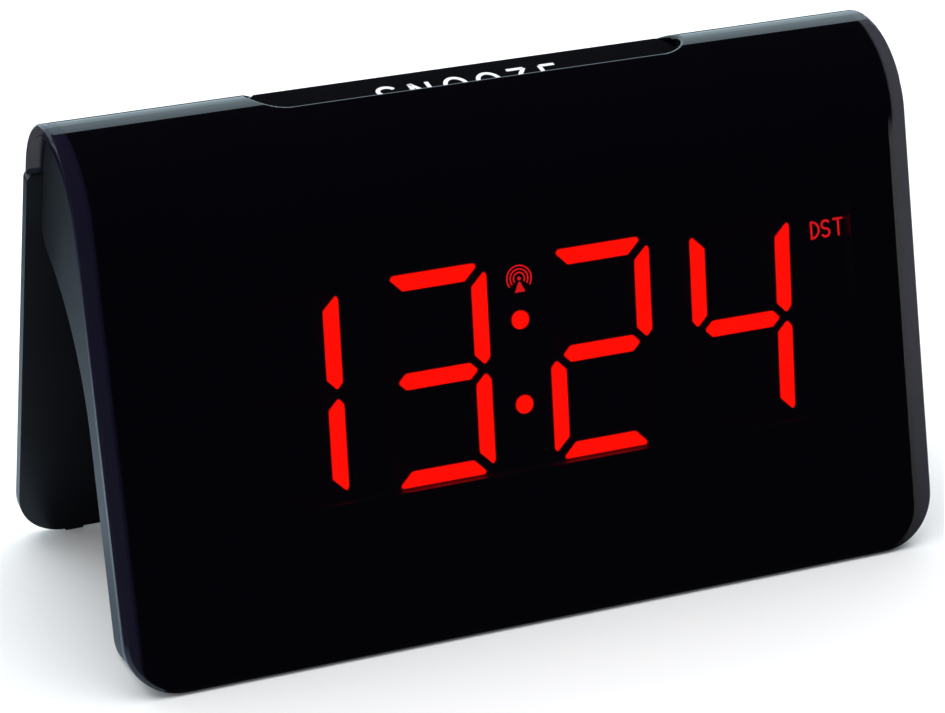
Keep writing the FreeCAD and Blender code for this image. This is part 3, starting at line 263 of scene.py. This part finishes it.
def backlight_and_print(material):
    """Ends = smooth step of the absolute X from where the ends start to where they are full; the colour goes
    over to a lighter violet, painted light from behind. Print = smooth step of the height from where the
    print starts to where it is full, less the ends; it raises the opacity from the sheet's own to one."""
    tree = material.node_tree
    shader = tree.nodes["Principled BSDF"]
    before = shader.inputs["Base Color"].links[0].from_socket
    place = add(tree, "ShaderNodeTexCoord")
    split = add(tree, "ShaderNodeSeparateXYZ")
    size = add(tree, "ShaderNodeMath", operation="ABSOLUTE")
    ends = add(tree, "ShaderNodeMapRange", {"From Min": ENDS_START, "From Max": ENDS_FULL},
               interpolation_type="SMOOTHSTEP")
    # Mix towards the painted backlight colour at the ends.
    backlit = add(tree, "ShaderNodeMix", data_type="RGBA")
    backlit.inputs["B"].default_value = (*PAINTED_BACKLIGHT_VIOLET, 1)
    tree.links.new(place.outputs["Object"], split.inputs["Vector"])
    tree.links.new(split.outputs["X"], size.inputs[0])
    tree.links.new(size.outputs["Value"], ends.inputs["Value"])
    tree.links.new(ends.outputs["Result"], backlit.inputs["Factor"])
    tree.links.new(before, backlit.inputs["A"])
    tree.links.new(backlit.outputs["Result"], shader.inputs["Base Color"])
    height = add(tree, "ShaderNodeMapRange", {"From Min": PRINT_START, "From Max": PRINT_FULL},
                 interpolation_type="SMOOTHSTEP")
    inside = add(tree, "ShaderNodeMath", operation="SUBTRACT", use_clamp=True)
    cover = add(tree, "ShaderNodeMapRange", {"To Min": SHEET_OPACITY, "To Max": 1.0})
    tree.links.new(split.outputs["Z"], height.inputs["Value"])
    tree.links.new(height.outputs["Result"], inside.inputs[0])
    tree.links.new(ends.outputs["Result"], inside.inputs[1])
    tree.links.new(inside.outputs["Value"], cover.inputs["Value"])
    tree.links.new(cover.outputs["Result"], shader.inputs["Alpha"])


backlight_and_print(FINISHES["tinted_shell"])
print("sheet opacity", SHEET_OPACITY, "violet from", ENDS_START, "printed above", PRINT_START)

# %% [markdown]
# ## Light from behind the panel
# A lit segment is a red plastic wedge over a diode, and its light is never quite even. A lamp behind each
# wedge would cost time and show no more through the dark sheet, so the wedge itself glows, and a soft noise
# varies its red a little. The two small signs share weaker diodes, so they are dimmer. The unlit wedges are
# the same plastic with hardly any light.

# %% Lit and unlit segments
def glowing(name, hot, edge, strength):
    """Emission colour = hot to edge by a soft 5 mm noise, one plain strength for the whole piece."""
    material = finish(name, (0.05, 0.002, 0.001), (0.07, 0.003, 0.002), (0.3, 0.4), 900.0, 0.00001, dust=0.0)
    tree = material.node_tree
    place = add(tree, "ShaderNodeTexCoord")
    soft = add(tree, "ShaderNodeTexNoise", {"Scale": 180.0, "Detail": 1.0})
    tone = add(tree, "ShaderNodeMix", data_type="RGBA")
    tone.inputs["A"].default_value = (*hot, 1)
    tone.inputs["B"].default_value = (*edge, 1)
    shader = tree.nodes["Principled BSDF"]
    tree.links.new(place.outputs["Object"], soft.inputs["Vector"])
    tree.links.new(soft.outputs["Fac"], tone.inputs["Factor"])
    tree.links.new(tone.outputs["Result"], shader.inputs["Emission Color"])
    shader.inputs["Emission Strength"].default_value = strength
    return material


GLOWS = {
    "lit_red": ((1.0, 0.004, 0.0), (0.94, 0.002, 0.0), 41.0),
    "icon_red": ((1.0, 0.012, 0.016), (0.94, 0.01, 0.014), 23.0),
    "unlit_red": ((0.12, 0.0, 0.0), (0.08, 0.0, 0.0), 0.1),
}
for name, (hot, edge, strength) in GLOWS.items():
    FINISHES[name] = glowing(name, hot, edge, strength)
print("glowing", sorted(GLOWS))

# %% [markdown]
# ## Which part gets which finish
# The parts are grouped by what they are made of. A part's mesh is never touched: only the material in its
# slot is exchanged. The printout counts what was dressed, so a forgotten part is noticed at once.

# %% Dress the measured parts
PARTS = {
    "tinted_shell": ["front_shell"],
    "housing_plastic": ["housing", "back_plate", "snooze_carrier", "battery_cap"],
    "cover_plastic": ["rear_cover"],
    "key_plastic": ["snooze_key", "alarm_slider", "time_button", "alarm_button", "down_button",
                    "up_button", "dimmer_button"],
    "foot_rubber": ["front_feet", "rear_feet"],
    "lit_red": ["lit_segments", "colon_dots"],
    "icon_red": ["radio_icon", "summer_time_icon"],
    "unlit_red": ["unlit_segments"],
    "reflector_plastic": ["display_reflector"],
    "circuit_board": ["snooze_board", "display_board", "main_board", "receiver_board", "key_board"],
    "chip_epoxy": ["driver_chips", "clock_chip", "regulator"],
    "switch_plastic": ["snooze_switch", "antenna_holders", "key_switches", "slide_switch", "dc_socket",
                       "buzzer"],
    "spring_steel": ["snooze_springs", "quartz_crystal", "cell_contacts"],
    "screw_steel": ["display_screws", "back_screws", "main_board_screws", "carrier_screws",
                    "keyboard_screws", "cover_screws"],
    "cell_steel": ["backup_cell"],
    "can_aluminium": ["capacitors"],
    "ferrite": ["ferrite_rod"],
    "coil_copper": ["antenna_coil", "coil_leads"],
    "lead_sheath": ["power_leads", "cell_leads", "ribbon_cable"],
}
dressed = []
for slot, names in PARTS.items():
    for name in names:
        for held in nodes[name].material_slots:
            held.material = FINISHES[slot]
        dressed.append(name)
print("dressed", len(dressed), "of", len(nodes), "left out", sorted(set(nodes) - set(dressed)))

# %% [markdown]
# ## The word on the snooze key
# The word is printed on the key in white ink. Print is a thin film, so each letter is drawn flat with a pen
# line first, and the whole word is then laid on the key. The pen line is a closed bar: four edges carried
# along the letter's path, two just under the key's surface and two a little above it.

# %% A pen line with a real thickness
def pen_bar(path, width, low, high, closed=False):
    """A bar along a flat path. At each point the sideways direction is the path's own direction turned a
    quarter turn; the four corners are the point plus or minus half the width, at the low and high level.
    Returns points (sideways, along, level) and the faces."""
    path = np.asarray(path, float)
    if closed:
        ahead = np.roll(path, -1, 0) - np.roll(path, 1, 0)
    else:
        ahead = np.gradient(path, axis=0)
    ahead /= np.linalg.norm(ahead, axis=1)[:, None]
    side = np.c_[-ahead[:, 1], ahead[:, 0]] * width / 2
    level = np.ones((len(path), 1))
    rings = np.stack([np.c_[path - side, low * level], np.c_[path + side, low * level],
                      np.c_[path + side, high * level], np.c_[path - side, high * level]], 1)
    count = len(path)
    steps = count if closed else count - 1
    i, j = np.meshgrid(np.arange(steps), np.arange(4), indexing="ij")
    after = (i + 1) % count
    beside = (j + 1) % 4
    faces = np.stack([i * 4 + j, i * 4 + beside, after * 4 + beside, after * 4 + j], -1).reshape(-1, 4)
    if not closed:
        last = 4 * (count - 1)
        faces = np.vstack([faces, [3, 2, 1, 0], [last, last + 1, last + 2, last + 3]])
    return rings.reshape(-1, 3), faces


def join_bars(bars):
    """Several bars as one list of points and one list of faces, each bar's faces counted on."""
    starts = np.cumsum([0] + [len(points) for points, faces in bars[:-1]])
    faces = np.vstack([faces + start for (points, faces), start in zip(bars, starts)])
    return np.vstack([points for points, faces in bars]), faces.tolist()


def make_piece(name, points, faces, material, body):
    """Put points (metres) and a list of faces into a mesh, turn the faces outwards, let it ride on a body."""
    mesh = bpy.data.meshes.new(name)
    mesh.from_pydata(points.tolist(), [], faces)
    mesh.validate()
    mesh.materials.append(material)
    piece = bpy.data.objects.new(name, mesh)
    bpy.context.scene.collection.objects.link(piece)
    bpy.context.view_layer.objects.active = piece
    piece.select_set(True)
    bpy.ops.object.mode_set(mode="EDIT")
    bpy.ops.mesh.select_all(action="SELECT")
    bpy.ops.mesh.normals_make_consistent(inside=False)
    bpy.ops.object.mode_set(mode="OBJECT")
    piece.select_set(False)
    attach(piece, body)
    print(name, "faces", len(mesh.polygons))
    return piece


# %% [markdown]
# ## The six letters
# Round letters are ellipses or parts of them, and straight ones are runs of points between corners. They
# are drawn in a box one unit high, then scaled. Runs are cut into short steps, which keeps the faces even.

# %% Letter paths
RUN_STEPS = 8


def run(*corners):
    """Straight lines from corner to corner, each cut into RUN_STEPS equal steps."""
    corners = np.asarray(corners, float)
    t = np.linspace(0, 1, RUN_STEPS + 1)[:-1, None]
    legs = [a + (b - a) * t for a, b in zip(corners[:-1], corners[1:])]
    return np.vstack(legs + [corners[-1:]])


def bow(x, y, wide, tall, start, stop, steps=24):
    """Part of an ellipse about (x, y): wide and tall are its half sizes, start and stop are degrees."""
    turn = np.radians(np.linspace(start, stop, steps))
    return np.c_[x + wide * np.cos(turn), y + tall * np.sin(turn)]


LETTERS = {
    "S": [np.vstack([bow(0.44, 0.74, 0.36, 0.26, 20, 270), bow(0.44, 0.26, 0.38, 0.26, 90, -160)[1:]])],
    "N": [run((0.08, 0), (0.08, 1)), run((0.08, 1), (0.82, 0)), run((0.82, 0), (0.82, 1))],
    "O": [bow(0.52, 0.5, 0.45, 0.5, 0, 352, 46)],
    "Z": [run((0.05, 1), (0.8, 1)), run((0.8, 1), (0.03, 0)), run((0.03, 0), (0.82, 0))],
    "E": [run((0.08, 0), (0.08, 1)), run((0.08, 1), (0.74, 1)), run((0.08, 0.52), (0.68, 0.52)),
          run((0.08, 0), (0.76, 0))],
}
print("letters", sorted(LETTERS))

# %% [markdown]
# ## Laying the word on the key
# The key's top is a flat plane that slopes 10 degrees down towards the front, below the rim of its opening.
# From the front the rim therefore hides the lower half of the word. The flat letters are turned onto that
# plane: the distance up the letter runs back along the slope, and the level stands off it. All the sizes
# here are millimetres, apart from the letter's width, which is a share of its height.

# %% Lay the word on the key
SLOPE = math.radians(10)
SLOPE_BACK = 9.0
SLOPE_HEIGHT = 107.4
WORD_FRONT = -10.6
WORD_SIDE = 1.4
CAP = 6.0
LETTER_WIDE = 0.86
PITCH = 7.4
PEN_WIDTH = 0.95
INK_LOW = -0.02
INK_HIGH = 0.03


def on_the_key(points):
    """X stays X, the second number runs up the slope from its rear edge, the level is square to it."""
    x, along, level = points.T
    back = SLOPE_BACK + along * math.cos(SLOPE) - level * math.sin(SLOPE)
    height = SLOPE_HEIGHT + along * math.sin(SLOPE) + level * math.cos(SLOPE)
    return np.c_[x, back, height] * MM


def write_word(word):
    """Each letter's unit paths times the cap height, moved on by the pitch; the word is centred, then moved
    WORD_SIDE to the side."""
    bars = []
    for place, letter in enumerate(word):
        left = (place - len(word) / 2) * PITCH + WORD_SIDE
        for path in LETTERS[letter]:
            flat = path * np.array([CAP * LETTER_WIDE, CAP]) + np.array([left, WORD_FRONT])
            bars.append(pen_bar(flat, PEN_WIDTH, INK_LOW, INK_HIGH, closed=letter == "O"))
    return join_bars(bars)


white_ink = finish("white_ink", (0.78, 0.79, 0.8), (0.86, 0.87, 0.88), (0.3, 0.42), 1600.0, 0.000004)
word_points, word_faces = write_word("SNOOZE")
snooze_word = make_piece("snooze_word", on_the_key(word_points), word_faces, white_ink,
                         "snooze_key")

# %% [markdown]
# ## The springs under the key
# Two coils of round wire push the snooze key back up. They have to shorten when the key is pressed, which a
# solid that only rides can't do. Each is drawn as a wire carried along a helix, standing on the shelf; it
# rides with the clock and is not squashed with the key.

# %% Coil springs
SPRING_PLACES = (-30.0, 30.0)
SPRING_BACK = 3.76
SPRING_RADIUS = 2.75
SPRING_WIRE = 0.25
SPRING_TURNS = 6
SHELF_UP = 95.0
KEY_ROOF = 104.0


def coil_wire(x, turns, radius, wire, low, high, around=10, steps=36):
    """The centre line turns and climbs evenly. Each ring of the wire lies in the plane of the outward
    direction and the binormal, which is square to the line and to the outward direction."""
    turn = np.linspace(0, 2 * math.pi * turns, int(turns * steps) + 1)
    climb = (high - low) / turn[-1]
    outward = np.c_[np.cos(turn), np.sin(turn), 0 * turn]
    line = np.c_[-radius * np.sin(turn), radius * np.cos(turn), climb + 0 * turn]
    binormal = np.cross(line, outward)
    binormal /= np.linalg.norm(binormal, axis=1)[:, None]
    centre = np.array([x, SPRING_BACK, low]) + outward * radius + np.c_[0 * turn, 0 * turn, climb * turn]
    section = np.linspace(0, 2 * math.pi, around, endpoint=False)
    rings = centre[:, None] + wire * (outward[:, None] * np.cos(section)[:, None]
                                      + binormal[:, None] * np.sin(section)[:, None])
    i, j = np.meshgrid(np.arange(len(turn) - 1), np.arange(around), indexing="ij")
    beside = (j + 1) % around
    walls = np.stack([i * around + j, i * around + beside, (i + 1) * around + beside,
                      (i + 1) * around + j], -1).reshape(-1, 4)
    last = (len(turn) - 1) * around
    k = np.arange(1, around - 1)
    start_cap = np.c_[0 * k, k, k + 1]
    return rings.reshape(-1, 3), walls, np.vstack([start_cap, start_cap + last])


def make_springs():
    """Both coils in one mesh. Each stands on the shelf and reaches the key's roof; fans close its ends."""
    points, faces, start = [], [], 0
    low, high = SHELF_UP + SPRING_WIRE, KEY_ROOF - SPRING_WIRE
    for x in SPRING_PLACES:
        ring_points, walls, caps = coil_wire(x, SPRING_TURNS, SPRING_RADIUS, SPRING_WIRE, low, high)
        points.append(ring_points)
        faces += (walls + start).tolist() + (caps + start).tolist()
        start += len(ring_points)
    return np.vstack(points) * MM, faces


spring_points, spring_faces = make_springs()
return_springs = make_piece("return_springs", spring_points, spring_faces, FINISHES["spring_steel"],
                            "clock")
return_springs.data.shade_smooth()
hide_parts("snooze_springs")
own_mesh(return_springs)

# %% [markdown]
# ## Marks beside the rear controls
# The rear buttons need a mark each. They are raised lines a fifth of a millimetre high, tipped with the same
# white ink: a clock face, a ringing dot, minus, plus and a half-filled sun. White reads well on a dark
# cover, and the same pen bar draws them on the flat cover.

# %% Draw the rear marks
BUTTON_PLACES = {"time": -56, "alarm": -34, "down": -12, "up": 12, "dimmer": 34}
MARK_UP = 81.2
MARK_RING = 1.7
MARK_ARM = 1.5
LONG_HAND = 1.1
SHORT_HAND = 0.8
BELL_DOT = 0.6
HALF_SUN = 0.8
MARK_WIDTH = 0.42
MARK_LOW = -0.15
MARK_HIGH = 0.2
COVER_BACK = 41.5
COVER_FOOT = 0.6
REAR_LEAN = math.radians(13.6)


def mark_lines(kind, x):
    """Open paths (flag False) and closed paths (flag True) of one mark about the place x on the cover."""
    y = MARK_UP
    ring = bow(x, y, MARK_RING, MARK_RING, 0, 350, 36)
    level_arm = run((x - MARK_ARM, y), (x + MARK_ARM, y))
    upright_arm = run((x, y - MARK_ARM), (x, y + MARK_ARM))
    if kind == "time":
        long_hand = run((x, y), (x, y + LONG_HAND))
        short_hand = run((x, y), (x + SHORT_HAND, y))
        return [(ring, True), (long_hand, False), (short_hand, False)]
    if kind == "alarm":
        dot = bow(x, y, BELL_DOT, BELL_DOT, 0, 345, 24)
        over, under = [bow(x, y, MARK_RING, MARK_RING, start, start + 100) for start in (40, 220)]
        return [(dot, True), (over, False), (under, False)]
    if kind == "down":
        return [(level_arm, False)]
    if kind == "up":
        return [(level_arm, False), (upright_arm, False)]
    half = bow(x, y, HALF_SUN, HALF_SUN, -90, 90)
    return [(ring, True), (half, False), (upright_arm, False)]


def on_the_cover(points):
    """X stays X, the second number runs up the leaning cover, and the level stands off its outer face."""
    x, up, level = points.T
    lean_cos, lean_sin = math.cos(REAR_LEAN), math.sin(REAR_LEAN)
    back = COVER_BACK - up * lean_sin + level * lean_cos
    height = COVER_FOOT + up * lean_cos + level * lean_sin
    return np.c_[x, back, height] * MM


mark_bars = [pen_bar(path, MARK_WIDTH, MARK_LOW, MARK_HIGH, closed) for kind, x in BUTTON_PLACES.items()
             for path, closed in mark_lines(kind, x)]
mark_points, mark_faces = join_bars(mark_bars)
control_marks = make_piece("control_marks", on_the_cover(mark_points), mark_faces, white_ink,
                           "clock")

# %% [markdown]
# ## The table under the clock
# A plain white sweep: flat under the clock, then curved up behind it. A glossy black face would mirror the
# white floor in front of it. A studio would lay black card there, out of the camera's sight. Here the floor
# stays white to look at and is painted black only for reflections, which needs no card. A pale strip is
# painted into those reflections beside the clock's left end. This painted reflection brightens the foot of
# the grained side wall.

# %% Floor
def sweep_floor(half, front, back, bend, rise):
    """A profile of floor, quarter circle and wall, carried straight across from -half to +half."""
    turn = np.linspace(0, math.pi / 2, 24)
    floor = [[front, 0], [back, 0]]
    curve = np.c_[back + bend * np.sin(turn), bend - bend * np.cos(turn)][1:]
    profile = np.vstack([floor, curve, [[back + bend, rise]]])
    across = np.array([-half, half])
    x, k = np.meshgrid(across, np.arange(len(profile)), indexing="ij")
    points = np.stack([x, profile[k, 0], profile[k, 1]], -1).reshape(-1, 3)
    n = len(profile)
    i = np.arange(n - 1)
    return points, np.stack([i, i + n, i + n + 1, i + 1], -1)


PAPER_WHITE = (0.93, 0.93, 0.93)
# Colours seen only in reflections: painted black, and a pale strip painted as a reflection for the case's
# side wall.
REFLECTED_BLACK = (0.004, 0.004, 0.005)
REFLECTED_STRIP_PALE = (0.6, 0.74, 0.86)
STRIP_START = -0.165
STRIP_FULL = -0.095
STRIP_END = -0.085


def white_paper():
    """Strip = smooth step of X from its start to where it is full, cut off at its end. Mirrored colour =
    painted black going over to the pale strip, a painted reflection seen only by glossy rays; seen colour =
    white."""
    material = bpy.data.materials.new("white_paper")
    material.use_nodes = True
    tree = material.node_tree
    link = tree.links.new
    shader = tree.nodes["Principled BSDF"]
    place = add(tree, "ShaderNodeTexCoord")
    split = add(tree, "ShaderNodeSeparateXYZ")
    rising = add(tree, "ShaderNodeMapRange", {"From Min": STRIP_START, "From Max": STRIP_FULL},
                 interpolation_type="SMOOTHSTEP")
    short_of = add(tree, "ShaderNodeMath", {1: STRIP_END}, operation="LESS_THAN")
    strip = add(tree, "ShaderNodeMath", operation="MULTIPLY")
    # Painted reflection colour: black, going over to the pale strip.
    mirrored = add(tree, "ShaderNodeMix", data_type="RGBA")
    mirrored.inputs["A"].default_value = (*REFLECTED_BLACK, 1)
    mirrored.inputs["B"].default_value = (*REFLECTED_STRIP_PALE, 1)
    seen_by = add(tree, "ShaderNodeLightPath")
    tone = add(tree, "ShaderNodeMix", data_type="RGBA")
    tone.inputs["A"].default_value = (*PAPER_WHITE, 1)
    link(place.outputs["Object"], split.inputs["Vector"])
    link(split.outputs["X"], rising.inputs["Value"])
    link(split.outputs["X"], short_of.inputs[0])
    link(rising.outputs["Result"], strip.inputs[0])
    link(short_of.outputs["Value"], strip.inputs[1])
    link(strip.outputs["Value"], mirrored.inputs["Factor"])
    link(mirrored.outputs["Result"], tone.inputs["B"])
    link(seen_by.outputs["Is Glossy Ray"], tone.inputs["Factor"])
    link(tone.outputs["Result"], shader.inputs["Base Color"])
    shader.inputs["Roughness"].default_value = 1.0
    shader.inputs["Specular IOR Level"].default_value = 0.0
    return material


floor_points, floor_faces = sweep_floor(half=3.0, front=-3.0, back=1.4, bend=0.5, rise=2.6)
floor_mesh = bpy.data.meshes.new("studio_floor")
floor_mesh.from_pydata(floor_points.tolist(), [], floor_faces.tolist())
floor_mesh.materials.append(white_paper())
floor = bpy.data.objects.new("studio_floor", floor_mesh)
bpy.context.scene.collection.objects.link(floor)
print("floor faces", len(floor_mesh.polygons))

# %% [markdown]
# ## Studio light
# One wide panel stands behind the clock. The polished arch mirrors it as the pale band along its crest, with
# a clear lower edge where the panel ends. Soft fill from above and from the left, and a faint even sky,
# light the paper and the grained case without showing in the gloss.

# %% Lights
NEARLY_UPRIGHT = 0.99
WORLD_TONE = (0.9, 0.95, 1.0)
WORLD_STRENGTH = 0.35


def soft_panel(name, place, aim, wide, tall, watts, in_gloss, tint=(1, 1, 1)):
    """A rectangular lamp at a place, turned so that its face looks at the aim point. Right is square to the
    upward direction and to the way it faces, except for a lamp that looks almost straight down."""
    lamp = bpy.data.lights.new(name, "AREA")
    lamp.shape = "RECTANGLE"
    lamp.size = wide
    lamp.size_y = tall
    lamp.energy = watts
    lamp.color = tint
    panel = bpy.data.objects.new(name, lamp)
    away = np.array(place, float) - np.array(aim, float)
    away /= np.linalg.norm(away)
    right = np.cross((0, 0, 1), away) if abs(away[2]) < NEARLY_UPRIGHT else np.array([1.0, 0, 0])
    right /= np.linalg.norm(right)
    stand(panel, right, np.cross(away, right), away, place)
    panel.visible_glossy = in_gloss
    panel.visible_camera = False
    print(name, "watts", watts, "in gloss", in_gloss)


soft_panel("back_panel", place=(0.1, 1.15, 0.56), aim=(0.1, 0, 0.56), wide=3.4, tall=1.06, watts=14.0,
           in_gloss=True, tint=(0.7, 0.9, 1.0))
soft_panel("top_fill", place=(0, 0.1, 1.9), aim=(0, 0, 0), wide=2.6, tall=2.6, watts=50.0, in_gloss=False)
soft_panel("left_fill", place=(-1.5, 0.0, 0.35), aim=(0, 0, 0.02), wide=1.2, tall=0.6, watts=5.0,
           in_gloss=False, tint=(0.95, 0.98, 1.0))
world = bpy.data.worlds.new("studio")
bpy.context.scene.world = world
world.use_nodes = True
sky = world.node_tree.nodes["Background"]
sky.inputs["Color"].default_value = (*WORLD_TONE, 1)
sky.inputs["Strength"].default_value = WORLD_STRENGTH
world.cycles_visibility.glossy = False
bpy.context.scene.view_settings.view_transform = "Standard"

# %% [markdown]
# ## Camera
# The camera stands to the left of the face and looks down on it, far enough away that the sides stay nearly
# parallel. Its place and turn were worked out from the clock's own outline, so no shift is needed.

# %% Camera
AZIMUTH = math.radians(22.954)
ELEVATION = math.radians(24.308)
ROLL = math.radians(0.113)
CAMERA_PLACE = (-0.27617, -0.65123, 0.36366)
LENS = 137.4187
SENSOR = 36.0
NEAREST = 0.02
forward = np.array([math.sin(AZIMUTH) * math.cos(ELEVATION), math.cos(AZIMUTH) * math.cos(ELEVATION),
                    -math.sin(ELEVATION)])
level_right = np.array([math.cos(AZIMUTH), -math.sin(AZIMUTH), 0.0])
level_up = np.cross(level_right, forward)
right = math.cos(ROLL) * level_right + math.sin(ROLL) * level_up
up = math.cos(ROLL) * level_up - math.sin(ROLL) * level_right
lens = bpy.data.cameras.new("camera")
lens.sensor_width = SENSOR
lens.lens = LENS
lens.clip_start = NEAREST
camera = bpy.data.objects.new("camera", lens)
stand(camera, right, up, -forward, CAMERA_PLACE)
bpy.context.scene.camera = camera
print("lens", round(lens.lens, 2), "mm")
